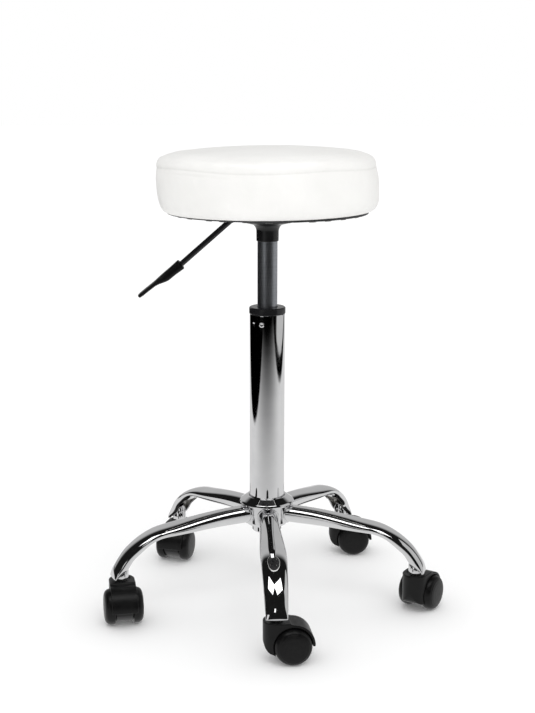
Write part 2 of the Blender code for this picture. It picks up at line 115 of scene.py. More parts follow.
class Paint(Graph):
    """A Principled material whose textures lie in the piece's own coordinates."""

    def __init__(self, name, color, roughness, metallic=0.0):
        self.material = bpy.data.materials.new(name)
        self.material.use_nodes = True
        self.material.diffuse_color = (*color, 1)
        super().__init__(self.material.node_tree)
        self.shader = self.nodes["Principled BSDF"]
        self.put("Base Color", (*color, 1))
        self.put("Roughness", roughness)
        self.put("Metallic", metallic)
        self.coords = self.add("TexCoord").outputs["Object"]

    def put(self, name, value):
        self.feed(self.shader.inputs[name], value)

    def stretch(self, scale):
        return self.add("Mapping", {"Scale": scale, "Vector": self.coords}).outputs["Vector"]

    def noise(self, scale, detail, coords=None):
        inputs = {"Scale": scale, "Detail": detail, "Vector": coords or self.coords}
        return self.add("TexNoise", inputs).outputs["Fac"]

    def cells(self, scale, feature="F1", randomness=1.0):
        inputs = {"Scale": scale, "Randomness": randomness, "Vector": self.coords}
        return self.add("TexVoronoi", inputs, feature=feature).outputs["Distance"]

    def tint(self, factor, first, second):
        """Base colour mixed from first to second by a factor."""
        inputs = {"Factor": factor, "A": (*first, 1), "B": (*second, 1)}
        self.put("Base Color", self.add("Mix", inputs, data_type="RGBA").outputs["Result"])

    def rough(self, cloud, target, source):
        self.put("Roughness", self.spread(cloud, source, target))

    def bump(self, height, strength, distance):
        """Add a bump on top of any bump there is."""
        node = self.add("Bump", {"Strength": strength, "Distance": distance, "Height": height})
        last = self.shader.inputs["Normal"]
        if last.links:
            self.feed(node.inputs["Normal"], last.links[0].from_socket)
        self.feed(last, node.outputs["Normal"])


MIDDLE = (0.3, 0.7)


def cloudy(name, color, metallic, cloud, tones, roughness, grain, tone_range=MIDDLE, gloss_range=MIDDLE):
    """A finish whose tone and gloss drift with one cloudy texture over a fine grain.

    cloud is (scale, detail), and grain is (scale, detail, strength, depth in millimetres)."""
    paint = Paint(name, color, sum(roughness) / 2, metallic)
    haze = paint.noise(*cloud)
    paint.rough(haze, roughness, gloss_range)
    paint.tint(paint.spread(haze, tone_range), *tones)
    scale, detail, strength, depth = grain
    paint.bump(paint.noise(scale, detail), strength, depth * MM)
    return paint


def satin_steel_paint():
    """Ground steel of the gas cylinder, with fine marks round it."""
    paint = Paint("satin_steel", (0.42, 0.44, 0.47), 0.3, 1.0)
    rings = paint.noise(1100, 3, paint.stretch((0.03, 0.03, 1)))
    paint.rough(paint.noise(45, 4), (0.26, 0.36), MIDDLE)
    paint.tint(paint.spread(rings, MIDDLE), (0.50, 0.52, 0.55), (0.41, 0.43, 0.46))
    around = paint.add("Tangent", direction_type="RADIAL", axis="Z")
    paint.put("Tangent", around.outputs["Tangent"])
    paint.put("Anisotropic", 0.85)
    paint.put("Anisotropic Rotation", 0.0)
    return paint


def plywood_paint():
    """Veneer grain stretched along X, with darker pores."""
    paint = Paint("plywood", (0.52, 0.36, 0.21), 0.65)
    grain = paint.noise(60, 8, paint.stretch((0.25, 4.0, 1.0)))
    paint.tint(paint.spread(grain, MIDDLE), (0.62, 0.45, 0.28), (0.42, 0.27, 0.15))
    paint.bump(grain, 0.3, 0.2 * MM)
    return paint


def dust_cloth_paint():
    """Spun-bonded black cloth: bonded dimples in a grid over loose fibre."""
    paint = Paint("spunbond_cloth", (0.018, 0.018, 0.019), 0.85)
    dimples = paint.cells(520, randomness=0.15)
    fibre = paint.noise(1500, 4)
    paint.tint(paint.spread(fibre, MIDDLE), (0.010, 0.010, 0.011), (0.026, 0.026, 0.027))
    paint.bump(paint.spread(dimples, (0.15, 0.45)), 0.5, 0.25 * MM)
    paint.bump(fibre, 0.3, 0.1 * MM)
    paint.put("Sheen Weight", 0.2)
    return paint


def vinyl_paint():
    """White upholstery vinyl: fine pebble grain, soft tonal drift, and painted shade along the seam and its
    crease.
    """
    paint = Paint("white_vinyl", (0.86, 0.86, 0.855), 0.42)
    drift = paint.noise(9, 4)
    # Painted shade: the seam_shade attribute darkens the colour along the seam's groove and in the crease
    # beside it.
    painted_seam_shade = paint.add("Attribute", attribute_name="seam_shade").outputs["Fac"]
    # The tint mixes the vinyl's own random tonal drift with the painted seam shade.
    shade = paint.math("ADD", paint.spread(drift, (0.3, 0.75), (0, 0.45)), painted_seam_shade)
    paint.tint(shade, (0.885, 0.880, 0.862), (0.70, 0.695, 0.675))
    paint.rough(drift, (0.36, 0.48), MIDDLE)
    pebble = paint.cells(640, "SMOOTH_F1")
    paint.bump(paint.spread(pebble, (0.1, 0.7), (1, 0)), 0.30, 0.16 * MM)
    paint.bump(paint.noise(2300, 3), 0.18, 0.05 * MM)
    paint.put("Sheen Weight", 0.08)
    return paint


# Bright plate with faint handling haze and the slight waviness of polished tube
CHROME = cloudy(
    "chrome_plate", (0.84, 0.84, 0.845), 1.0, (38, 5), ((0.86, 0.86, 0.865), (0.79, 0.79, 0.80)),
    (0.025, 0.075), (70, 2, 0.05, 0.3), (0.3, 0.8), (0.35, 0.75))
# The same plating where no one polished it: inside the open legs
DULL_PLATE = cloudy(
    "dull_plate", (0.74, 0.73, 0.71), 1.0, (120, 5), ((0.78, 0.77, 0.75), (0.66, 0.65, 0.62)),
    (0.28, 0.42), (600, 3, 0.1, 0.05))
# Passivated fasteners: cloudy grey with a faint warm tone
ZINC = cloudy(
    "zinc_plate", (0.55, 0.55, 0.53), 1.0, (160, 5), ((0.62, 0.61, 0.57), (0.48, 0.49, 0.49)),
    (0.30, 0.48), (1400, 3, 0.12, 0.05))
# Semi-gloss black powder coat with orange peel
BLACK_METAL = cloudy(
    "black_coat", (0.006, 0.006, 0.0065), 0.0, (55, 4), ((0.005, 0.005, 0.0055), (0.010, 0.010, 0.0105)),
    (0.24, 0.36), (520, 2, 0.22, 0.12), (0.3, 0.8))
# Glossy black of the lever rod and the column cap
GLOSS_BLACK = cloudy(
    "gloss_black", (0.008, 0.008, 0.009), 0.0, (90, 4), ((0.007, 0.007, 0.008), (0.013, 0.013, 0.014)),
    (0.10, 0.20), (800, 2, 0.06, 0.08), (0, 1))
# Moulded nylon: fine spark-eroded grain, a little dustier in places
BLACK_PLASTIC = cloudy(
    "black_nylon", (0.003, 0.003, 0.0033), 0.0, (75, 5),
    ((0.0024, 0.0024, 0.0026), (0.0062, 0.0062, 0.0062)), (0.29, 0.39), (2600, 2, 0.22, 0.06), (0.35, 0.85))
# Caster wheels: the same nylon, smoother and slightly scuffed by rolling
TREAD = cloudy(
    "wheel_nylon", (0.003, 0.003, 0.0033), 0.0, (210, 6),
    ((0.0024, 0.0024, 0.0026), (0.0068, 0.0066, 0.0064)), (0.28, 0.40), (2200, 2, 0.18, 0.05), (0.4, 0.85))
# Uncoloured nylon of the guide sleeve
NATURAL_NYLON = cloudy(
    "natural_nylon", (0.72, 0.71, 0.66), 0.0, (140, 4), ((0.75, 0.74, 0.69), (0.66, 0.65, 0.59)),
    (0.5, 0.5), (900, 2, 0.1, 0.05), (0, 1))
for moulded in (BLACK_PLASTIC, TREAD):
    moulded.put("Specular IOR Level", 0.26)
SATIN_STEEL = satin_steel_paint()
DUST_CLOTH = dust_cloth_paint()
VINYL = vinyl_paint()

SLOT_PAINTS = {
    "chrome": CHROME, "satin_steel": SATIN_STEEL, "zinc_steel": ZINC, "black_metal": BLACK_METAL,
    "gloss_black": GLOSS_BLACK, "black_plastic": BLACK_PLASTIC, "nylon": NATURAL_NYLON,
    "plywood": plywood_paint(), "dust_cloth": DUST_CLOTH, "white_vinyl": VINYL,
}
NODE_SLOTS = {row["node"]: row["material_slot"] for row in frame["record"]["subparts"]}
NODE_BODIES = {
    node: body for body, nodes in frame["record"]["behaviour"]["bodies"].items() for node in nodes
}


def paint_cad_nodes():
    """Every CAD node that stays in view gets the finish of its slot."""
    for name, node in frame["nodes"].items():
        node.data.materials.clear()
        node.data.materials.append(SLOT_PAINTS[NODE_SLOTS[name]].material)


paint_cad_nodes()

# ---- mesh helpers


def mesh_from(name, shape, paint, smooth=True):
    bmesh.ops.recalc_face_normals(shape, faces=shape.faces)
    mesh = bpy.data.meshes.new(name)
    shape.to_mesh(mesh)
    shape.free()
    mesh.materials.append(paint.material)
    if smooth:
        mesh.shade_smooth()
    return mesh


def add_piece(name, mesh, node, place=None, stands_for=True):
    """Add a piece that rides with a CAD node's body and stands for it."""
    piece = loose_object(name, mesh)
    if place is not None:
        piece.matrix_world = place
    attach(piece, NODE_BODIES[node])
    if stands_for:
        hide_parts(node)
    return piece


def baked(piece_object):
    """The evaluated mesh of an object, as a mesh of its own."""
    graph = bpy.context.evaluated_depsgraph_get()
    return bpy.data.meshes.new_from_object(piece_object.evaluated_get(graph))


def loose_object(name, mesh):
    item = bpy.data.objects.new(name, mesh)
    bpy.context.scene.collection.objects.link(item)
    return item


# Shares of an edge that a corner's curve and its guard point may take up
CORNER_SHARE = 0.45
GUARD_SHARE = 0.48
GUARD_REACH = 1.25


def rounded(points, radius, closed=False, steps=4):
    """Replace each corner of a profile with a small curve; radius may be one number or one a corner.

    A guard point beside each curve keeps the shading of the flats flat."""
    count = len(points)
    radii = radius if isinstance(radius, (list, tuple)) else [radius] * count
    out = []
    for index, point in enumerate(points):
        if not closed and index in (0, count - 1):
            out.append(point)
            continue
        here = Vector(point)
        back = Vector(points[index - 1]) - here
        ahead = Vector(points[(index + 1) % count]) - here
        reach = min(radii[index], back.length * CORNER_SHARE, ahead.length * CORNER_SHARE)
        start = here + back.normalized() * reach
        end = here + ahead.normalized() * reach
        guard = reach * GUARD_REACH
        if guard < back.length * GUARD_SHARE:
            out.append(tuple(here + back.normalized() * guard))
        for step in range(steps + 1):
            t = step / steps
            out.append(tuple(start * (1 - t) ** 2 + here * 2 * t * (1 - t) + end * t ** 2))
        if guard < ahead.length * GUARD_SHARE:
            out.append(tuple(here + ahead.normalized() * guard))
    return out


def circle(count):
    return [2 * math.pi * index / count for index in range(count)]


def bridge(shape, first, second, downward=False):
    """Close the band between two rings of points; a ring may be one point over and over."""
    for side in range(len(first)):
        after = (side + 1) % len(first)
        loop = [first[side], first[after], second[after], second[side]]
        if downward:
            loop = [first[side], second[side], second[after], first[after]]
        corners = []
        for vert in loop:
            if vert not in corners:
                corners.append(vert)
        if len(corners) > 2:
            shape.faces.new(corners)


def bridge_rows(shape, rows, closed=False):
    for first, second in zip(rows, rows[1:]):
        bridge(shape, first, second)
    if closed:
        bridge(shape, rows[-1], rows[0])
    else:
        shape.faces.new(list(reversed(rows[0])))
        shape.faces.new(rows[-1])


def lathe(name, profile, sides, paint, closed=False):
    """Turn an (r, z) profile about Z; one that isn't closed starts and ends on the axis."""
    shape = bmesh.new()
    rows = []
    for radius, height in profile:
        if radius == 0:
            rows.append([shape.verts.new((0, 0, height))] * sides)
            continue
        ring = [(radius * math.cos(angle), radius * math.sin(angle), height) for angle in circle(sides)]
        rows.append([shape.verts.new(place) for place in ring])
    for first, second in zip(rows, rows[1:]):
        bridge(shape, first, second)
    if closed:
        bridge(shape, rows[-1], rows[0])
    return mesh_from(name, shape, paint)


def add_turned(name, node, profile, radius, sides, paint):
    """Add a piece turned from a closed profile, with its corners rounded."""
    add_piece(name, lathe(node, rounded(profile, radius, closed=True), sides, paint, closed=True), node)


def tube_mesh(name, path, radii, paint, sides, closed=False):
    """A round rod along a list of points, with a radius for each point."""
    count = len(path)
    shape = bmesh.new()
    rows = []
    reference = None
    for index, (point, radius) in enumerate(zip(path, radii)):
        if closed:
            along = path[(index + 1) % count] - path[index - 1]
        else:
            along = path[min(index + 1, count - 1)] - path[max(index - 1, 0)]
        along.normalize()
        if reference is None:
            reference = along.orthogonal().normalized()
        reference = (reference - along * reference.dot(along)).normalized()
        other = along.cross(reference)
        ring = [point + (reference * math.cos(a) + other * math.sin(a)) * radius for a in circle(sides)]
        rows.append([shape.verts.new(place) for place in ring])
    bridge_rows(shape, rows, closed)
    return mesh_from(name, shape, paint)


def cubic_spline(knots, values, at):
    """Natural cubic spline through values at knots, read at the given places."""
    knots = np.asarray(knots, float)
    values = np.asarray(values, float)
    count = len(knots)
    step = np.diff(knots)
    system = np.eye(count)
    right = np.zeros(count)
    for i in range(1, count - 1):
        system[i, i - 1:i + 2] = (step[i - 1], 2 * (step[i - 1] + step[i]), step[i])
        slope_before = (values[i] - values[i - 1]) / step[i - 1]
        slope_after = (values[i + 1] - values[i]) / step[i]
        right[i] = 6 * (slope_after - slope_before)
    bend = np.linalg.solve(system, right)
    index = np.clip(np.searchsorted(knots, at, side="right") - 1, 0, count - 2)
    low = np.asarray(at) - knots[index]
    high = knots[index + 1] - np.asarray(at)
    width = step[index]
    return (
        bend[index] * high ** 3 / (6 * width) + bend[index + 1] * low ** 3 / (6 * width)
        + (values[index] / width - bend[index] * width / 6) * high
        + (values[index + 1] / width - bend[index + 1] * width / 6) * low
    )


def superellipse(angle, power):
    across = math.copysign(abs(math.cos(angle)) ** (2 / power), math.cos(angle))
    up = math.copysign(abs(math.sin(angle)) ** (2 / power), math.sin(angle))
    return across, up


def smoothstep(value, low, high):
    t = min(max((value - low) / (high - low), 0), 1)
    return t * t * (3 - 2 * t)


# ---- base: legs, hub, column

HUB_LOW, HUB_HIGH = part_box("hub_barrel")
HUB_RADIUS = HUB_HIGH.x
LEG_COUNT = 5
FRONT_LEG_ANGLE = -86.6
CASTER_RADIUS = 0.2196
LEG_WALL = 1.6 * MM

# Leg stations from hub to tip: reach, height of the top line, depth, width
LEG_STATIONS = (
    (0.0280, 0.1428, 0.0246, 0.0280),
    (0.0600, 0.1412, 0.0240, 0.0288),
    (0.0920, 0.1379, 0.0222, 0.0310),
    (0.1200, 0.1336, 0.0200, 0.0338),
    (0.1450, 0.1294, 0.0170, 0.0360),
    (0.1650, 0.1256, 0.0150, 0.0360),
    (0.1850, 0.1178, 0.0150, 0.0350),
    (0.2030, 0.1065, 0.0170, 0.0338),
    (0.2170, 0.0935, 0.0170, 0.0324),
    (0.2270, 0.0795, 0.0170, 0.0310),
    (0.2323, 0.0690, 0.0110, 0.0300),
    (0.2340, 0.0615, 0.0060, 0.0290),
)
LEG_ROWS = 120
LEG_SIDES = 56
LEG_POWER = 2.15
OPEN_REACH = 0.182
OPEN_BLEND = 0.014
OPEN_HALF_ANGLE = math.radians(45)
WELD_SIDES = 72
WELD_RADIUS = 1.35 * MM
WELD_UNEVENNESS = 0.12 * MM
WELD_STAND_OFF = 0.3 * MM


def leg_angle(number):
    return math.radians(FRONT_LEG_ANGLE + 360 / LEG_COUNT * (number - 1))


def leg_line():
    """Smooth stations along the leg: reach, height, depth, width and the inward normal."""
    table = np.array(LEG_STATIONS)
    hops = np.hypot(np.diff(table[:, 0]), np.diff(table[:, 1]))
    travel = np.concatenate(([0], np.cumsum(hops)))
    at = np.linspace(0, travel[-1], LEG_ROWS)
    reach, top, depth, width = (cubic_spline(travel, table[:, column], at) for column in range(4))
    slope_x = np.gradient(reach, at)
    slope_z = np.gradient(top, at)
    length = np.hypot(slope_x, slope_z)
    return reach, top, depth, width, slope_z / length, -slope_x / length


LEG_LINE = leg_line()


def leg_roof(reach):
    """Height of the leg's top line above a point at a given reach."""
    return float(np.interp(reach, LEG_LINE[0], LEG_LINE[1]))


def leg_mesh():
    """Pressed oval tube that opens underneath towards the caster."""
    shape = bmesh.new()
    rows = []
    for reach, top, depth, width, inward_x, inward_z in zip(*LEG_LINE):
        gap = OPEN_HALF_ANGLE * smoothstep(reach, OPEN_REACH, OPEN_REACH + OPEN_BLEND)
        row = []
        for side in range(LEG_SIDES + 1):
            angle = -math.pi / 2 + gap + (2 * math.pi - 2 * gap) * side / LEG_SIDES
            across, up = superellipse(angle, LEG_POWER)
            sink = depth / 2 * (1 - up)
            place = (reach + inward_x * sink, width / 2 * across, top + inward_z * sink)
            row.append(shape.verts.new(place))
        rows.append(row)
    for first, second in zip(rows, rows[1:]):
        for side in range(LEG_SIDES):
            shape.faces.new((first[side], second[side], second[side + 1], first[side + 1]))
    bmesh.ops.remove_doubles(shape, verts=shape.verts, dist=0.01 * MM)
    skin = loose_object("leg_skin", mesh_from("leg_skin", shape, CHROME))
    skin.data.materials.append(DULL_PLATE.material)
    wall = skin.modifiers.new("wall", "SOLIDIFY")
    wall.thickness = LEG_WALL
    wall.offset = -1
    wall.use_even_offset = True
    wall.material_offset = 1
    edge = skin.modifiers.new("edge", "BEVEL")
    edge.width = 0.5 * MM
    edge.segments = 2
    edge.limit_method = "ANGLE"
    edge.angle_limit = math.radians(60)
    mesh = baked(skin)
    bpy.data.objects.remove(skin)
    mesh.shade_smooth()
    return mesh


def make_legs():
    mesh = leg_mesh()
    bead = weld_bead_mesh()
    for number in range(1, LEG_COUNT + 1):
        turn = Matrix.Rotation(leg_angle(number), 4, "Z")
        add_piece(f"chrome_leg_{number}", mesh, f"leg_{number}", turn)
        add_piece(f"leg_weld_{number}", bead, f"leg_{number}", turn, stands_for=False)


def weld_bead_mesh():
    """Plated weld where a leg meets the barrel."""
    _, top, depth, width = LEG_STATIONS[0]
    path = []
    radii = []
    for side, angle in enumerate(circle(WELD_SIDES)):
        across, up = superellipse(angle, LEG_POWER)
        y = (width / 2 + WELD_STAND_OFF) * across
        z = top - depth / 2 + (depth / 2 + WELD_STAND_OFF) * up
        path.append(Vector((math.sqrt(HUB_RADIUS ** 2 - y ** 2), y, z)))
        radii.append(WELD_RADIUS + WELD_UNEVENNESS * noise.noise(Vector((side * 0.9, 3.1, 0))))
    return tube_mesh("leg_weld", path, radii, CHROME, sides=12, closed=True)


HUB_BORE = 0.0253
HUB_CHAMFER = (0.0035, 0.0045)
HUB_SIDES = 128
# Domed washer round the column's foot: (radius, height) from its inner top edge
FLANGE_PROFILE = (
    (0.0254, 0.1552), (0.0264, 0.1567), (0.0282, 0.1565), (0.0380, 0.1500), (0.0394, 0.1474),
    (0.0388, 0.1453), (0.0368, 0.1447), (0.0254, 0.1447),
)


def make_hub():
    bottom, top = HUB_LOW.z, HUB_HIGH.z
    inset, height = HUB_CHAMFER
    barrel = [
        (HUB_BORE, top), (HUB_RADIUS, top), (HUB_RADIUS, bottom + height),
        (HUB_RADIUS - inset, bottom), (HUB_BORE - 0.001, bottom),
    ]
    add_turned("chrome_hub_barrel", "hub_barrel", barrel, 0.9 * MM, HUB_SIDES, CHROME)
    add_turned("chrome_hub_flange", "hub_flange", FLANGE_PROFILE, 0.7 * MM, HUB_SIDES, CHROME)


COLUMN_RADIUS = 0.025
COLUMN_BORE = 0.0235
COLUMN_SIDES = 256
TAPER_RISE = 0.0016
# Depths below the top: the tube has fine rows where its dimples are, and coarse ones below
FINE_DEPTH = 0.030
FINE_ROWS = 44
COARSE_DEPTH = 0.034
COARSE_ROWS = 40
DIMPLE_HEIGHT = 0.4105
DIMPLE_ANGLES = (-90 - 50, -90 - 19, 90 - 50, 90 - 19)
DIMPLE_DEPTH = 0.9 * MM
DIMPLE_WIDTH = 2.1 * MM
DIMPLE_TALL = 1.6 * MM
DIMPLE_REACH = 9 * MM
CAP_BORE = 0.0145
CLIP_BORE = 0.0053


def column_profile():
    """Outer tube with a tapered foot and a closed bottom, from its inner top edge round to its bore."""
    low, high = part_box("column_tube")
    taper_top = HUB_HIGH.z + TAPER_RISE
    foot = HUB_LOW.z
    rows = list(np.linspace(high.z - 0.0008, high.z - FINE_DEPTH, FINE_ROWS))
    rows += list(np.linspace(high.z - COARSE_DEPTH, taper_top, COARSE_ROWS))
    outside = [(COLUMN_RADIUS - 0.0006, high.z), (COLUMN_RADIUS - 0.0002, high.z - 0.0002)]
    outside += [(COLUMN_RADIUS, float(z)) for z in rows]
    return [(COLUMN_BORE, high.z)] + outside + rounded([
        (COLUMN_RADIUS - 0.0002, taper_top - 0.003), (COLUMN_RADIUS - 0.001, foot),
        (0.0212, foot - 0.0015), (0.0212, low.z + 0.0015), (0.0198, low.z), (0.0062, low.z),
        (0.0062, low.z + 0.003), (0.0193, low.z + 0.003), (0.0195, foot - 0.0025),
        (0.0220, foot + 0.001), (COLUMN_BORE, taper_top),
    ], 0.5 * MM)


def crimp(mesh):
    """Press the dimples that hold the cap into the tube."""
    for vert in mesh.vertices:
        flat = math.hypot(vert.co.x, vert.co.y)
        if flat < COLUMN_RADIUS - 0.5 * MM or abs(vert.co.z - DIMPLE_HEIGHT) > DIMPLE_REACH:
            continue
        push = 0.0
        for degrees in DIMPLE_ANGLES:
            away = math.atan2(vert.co.y, vert.co.x) - math.radians(degrees)
            away = (away + math.pi) % (2 * math.pi) - math.pi
            across = away * COLUMN_RADIUS / DIMPLE_WIDTH
            up = (vert.co.z - DIMPLE_HEIGHT) / DIMPLE_TALL
            push += DIMPLE_DEPTH * math.exp(-(across ** 2 + up ** 2))
        vert.co.x *= 1 - push / flat
        vert.co.y *= 1 - push / flat


def make_column():
    """Chrome outer tube, crimped below its black cap."""
    mesh = lathe("column_tube", column_profile(), COLUMN_SIDES, CHROME, closed=True)
    crimp(mesh)
    add_piece("chrome_column", mesh, "column_tube")
    low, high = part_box("column_cap")
    cap = [
        (CAP_BORE, high.z), (high.x - 0.0012, high.z), (high.x, high.z - 0.0014),
        (high.x, low.z), (CAP_BORE, low.z),
    ]
    radii = [0.8 * MM, 0.8 * MM, 0.8 * MM, 0.4 * MM, 0.3 * MM]
    add_turned("black_column_cap", "column_cap", cap, radii, HUB_SIDES, GLOSS_BLACK)


def make_gas_cylinder():
    """Satin cylinder, hollow, with the clip that holds its rod under the column."""
    low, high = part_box("gas_cylinder")
    radius = high.x
    bore = radius - 1.6 * MM
    plug = 0.012
    profile = [
        (0.0034, high.z), (radius - 0.0012, high.z), (radius, high.z - 0.0016), (radius, low.z + 0.0015),
        (radius - 0.0012, low.z), (0.0056, low.z), (0.0056, low.z + plug), (bore, low.z + plug),
        (bore, high.z - plug), (0.0034, high.z - plug),
    ]
    add_turned("steel_gas_cylinder", "gas_cylinder", profile, 0.5 * MM, 96, SATIN_STEEL)
    low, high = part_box("retaining_clip")
    clip = [(CLIP_BORE, high.z), (high.x, high.z), (high.x, low.z), (CLIP_BORE, low.z)]
    add_turned("steel_retaining_clip", "retaining_clip", clip, 0.4 * MM, 64, ZINC)


# ---- casters

CASTER_YAWS = (8, 57, 2, -105, -78)
TRAIL = 0.020
WHEEL_RADIUS = 0.025
NECK_RADIUS = 0.018
NECK_TOP = 0.057
NECK_CHAMFER = 0.0015
RECESS_RADIUS = 0.0259
FENDER_WALL = 0.0036
WEB_HALF_WIDTH = 0.0118
HOOD_HALF_WIDTH = 0.02
STEM_BORE_RADIUS = 0.0058
STEM_BORE_BOTTOM = 0.0382
DISH_RADIUS = 0.0125
DISH_DEPTH = 0.0015
CUTTER_TOP = 0.07
VOXEL = 0.55 * MM
SOCKET_BORE = 0.0063
SOCKET_RADIUS = 0.0100
SOCKET_BOTTOM = 0.0585
SOCKET_TOP = 0.100
SOCKET_CLEARANCE = 5.0 * MM

# Hood section in its own plane: the rounded front under the stem, then the web below the axle
HOOD_TOE = (
    (-0.018, 0.036), (-0.0179, 0.031), (-0.0172, 0.0255), (-0.0157, 0.0210), (-0.0132, 0.0175),
    (-0.0098, 0.0152), (-0.0060, 0.0143),
)
HOOD_WEB = (
    (0.004, 0.0092), (0.008, 0.0071), (0.012, 0.0055), (0.016, 0.0045), (0.020, 0.0042), (0.024, 0.0045),
    (0.028, 0.0055), (0.032, 0.0079), (0.036, 0.0112), (0.039, 0.0142), (0.042, 0.0178), (0.0452, 0.0240),
)

# Half section of a wheel, outward from the caster's middle plane: domed face, rim step, tread, hub bore
WHEEL_PROFILE = (
    (0, 0.0276), (0.0080, 0.0275), (0.0150, 0.0271), (0.0196, 0.0262), (0.0204, 0.0254),
    (0.0214, 0.0251), (0.0226, 0.0240), (0.0239, 0.0221), (0.0247, 0.0198), (0.0250, 0.0174),
    (0.0250, 0.0146), (0.0246, 0.0130), (0.0225, 0.0127), (0.0040, 0.0127), (0.0040, 0.0256), (0, 0.0256),
)


def solid_prism(name, outline, low, high, axis="Y"):
    """A closed outline in XZ (or XY) swept from low to high along Y (or Z)."""
    shape = bmesh.new()
    if axis == "Y":
        verts = [shape.verts.new((x, low, z)) for x, z in outline]
        sweep = (0, high - low, 0)
    else:
        verts = [shape.verts.new((x, y, low)) for x, y in outline]
        sweep = (0, 0, high - low)
    face = shape.faces.new(verts)
    grown = bmesh.ops.extrude_face_region(shape, geom=[face])
    moved = [item for item in grown["geom"] if isinstance(item, bmesh.types.BMVert)]
    bmesh.ops.translate(shape, vec=sweep, verts=moved)
    return loose_object(name, mesh_from(name, shape, BLACK_PLASTIC, smooth=False))


def solid_rod(name, start, end, radius, sides):
    path = [Vector(start), Vector(end)]
    return loose_object(name, tube_mesh(name, path, [radius, radius], BLACK_PLASTIC, sides))


def boolean(target, cutter, operation):
    step = target.modifiers.new("boolean", "BOOLEAN")
    step.operation = operation
    step.object = cutter


def arc(center, radius, start, end, count):
    angles = [math.radians(start + (end - start) * i / count) for i in range(count + 1)]
    return [(center[0] + radius * math.cos(a), center[1] + radius * math.sin(a)) for a in angles]


def hood_mesh():
    """Moulded caster hood: round stem housing, arched fender, wheel recesses and central web."""
    over = arc((TRAIL, WHEEL_RADIUS), RECESS_RADIUS + FENDER_WALL, -1.5, 88, 28)
    slim = NECK_RADIUS - NECK_CHAMFER
    neck = [
        (NECK_RADIUS, NECK_TOP - NECK_CHAMFER), (slim, NECK_TOP),
        (-slim, NECK_TOP), (-NECK_RADIUS, NECK_TOP - NECK_CHAMFER),
    ]
    body = solid_prism("hood_body", [*HOOD_TOE, *HOOD_WEB, *over, *neck], -HOOD_HALF_WIDTH, HOOD_HALF_WIDTH)
    plan = arc((0, 0), NECK_RADIUS, 90, 270, 40) + [(0.06, -NECK_RADIUS), (0.06, NECK_RADIUS)]
    tools = [solid_prism("hood_plan", plan, 0, 0.08, "Z")]
    boolean(body, tools[0], "INTERSECT")
    for side in (-1, 1):
        near = (TRAIL, side * WEB_HALF_WIDTH, WHEEL_RADIUS)
        far = (TRAIL, side * 0.030, WHEEL_RADIUS)
        tools.append(solid_rod(f"recess_{side}", near, far, RECESS_RADIUS, 72))
    above = (0, 0, CUTTER_TOP)
    tools.append(solid_rod("stem_bore", (0, 0, STEM_BORE_BOTTOM), above, STEM_BORE_RADIUS, 24))
    tools.append(solid_rod("neck_dish", (0, 0, NECK_TOP - DISH_DEPTH), above, DISH_RADIUS, 48))
    for tool in tools[1:]:
        boolean(body, tool, "DIFFERENCE")
    skin = body.modifiers.new("skin", "REMESH")
    skin.mode = "VOXEL"
    skin.voxel_size = VOXEL
    soften = body.modifiers.new("soften", "SMOOTH")
    soften.factor = 0.5
    soften.iterations = 5
    mesh = baked(body)
    for item in [body] + tools:
        bpy.data.objects.remove(item)
    mesh.shade_smooth()
    return mesh


def make_casters():
    hood = hood_mesh()
    wheel = lathe("wheel", rounded(WHEEL_PROFILE, 0.7 * MM), 96, TREAD)
    for number, yaw in enumerate(CASTER_YAWS, 1):
        angle = leg_angle(number)
        stem = Matrix.Translation((CASTER_RADIUS * math.cos(angle), CASTER_RADIUS * math.sin(angle), 0))
        place = stem @ Matrix.Rotation(math.radians(yaw), 4, "Z")
        add_piece(f"moulded_hood_{number}", hood, f"caster_hood_{number}", place)
        hub = place @ Matrix.Translation((TRAIL, 0, WHEEL_RADIUS))
        for side, turn in (("right", 90), ("left", -90)):
            spun = hub @ Matrix.Rotation(math.radians(turn), 4, "X")
            add_piece(f"moulded_wheel_{number}_{side}", wheel, f"wheel_{number}_{side}", spun)
        add_piece(f"chrome_socket_{number}", socket_mesh(angle), f"caster_socket_{number}", stem)


def socket_mesh(angle):
    """Stem socket: a short tube trimmed to the inside of the leg."""
    profile = rounded([
        (SOCKET_BORE, SOCKET_TOP), (SOCKET_RADIUS, SOCKET_TOP),
        (SOCKET_RADIUS, SOCKET_BOTTOM), (SOCKET_BORE, SOCKET_BOTTOM),
    ], 0.4 * MM, closed=True)
    mesh = lathe("socket", profile, 64, CHROME, closed=True)
    outward = Vector((math.cos(angle), math.sin(angle)))
    for vert in mesh.vertices:
        if vert.co.z > SOCKET_TOP - 0.002:
            reach = CASTER_RADIUS + outward.dot(vert.co.xy)
            vert.co.z = min(vert.co.z, leg_roof(reach) - SOCKET_CLEARANCE)
    return mesh


make_legs()
make_hub()
make_column()
make_gas_cylinder()
make_casters()

# ---- seat socket and lever

LEVER_PIVOT = Vector((-0.024, 0, 0.5555))
LEVER_RADIUS = 0.004
LEVER_SLOPE = math.radians(41.4)
HANDLE_SLOPE = math.radians(36.9)
HANDLE_START = Vector((-0.1206, 0, 0.4930))

# Handle stations along its axis: distance, upper edge, lower edge, width
HANDLE_STATIONS = (
    (0.0000, 0.0075, -0.0076, 0.0155),
    (0.0168, 0.0059, -0.0073, 0.0170),
    (0.0296, 0.0051, -0.0080, 0.0200),
    (0.0370, 0.0044, -0.0054, 0.0225),
    (0.0455, 0.0034, -0.0029, 0.0240),
    (0.0600, 0.0029, -0.0031, 0.0250),
    (0.0700, 0.0025, -0.0035, 0.0240),
    (0.0750, 0.0021, -0.0032, 0.0200),
    (0.0764, 0.0010, -0.0022, 0.0140),
)


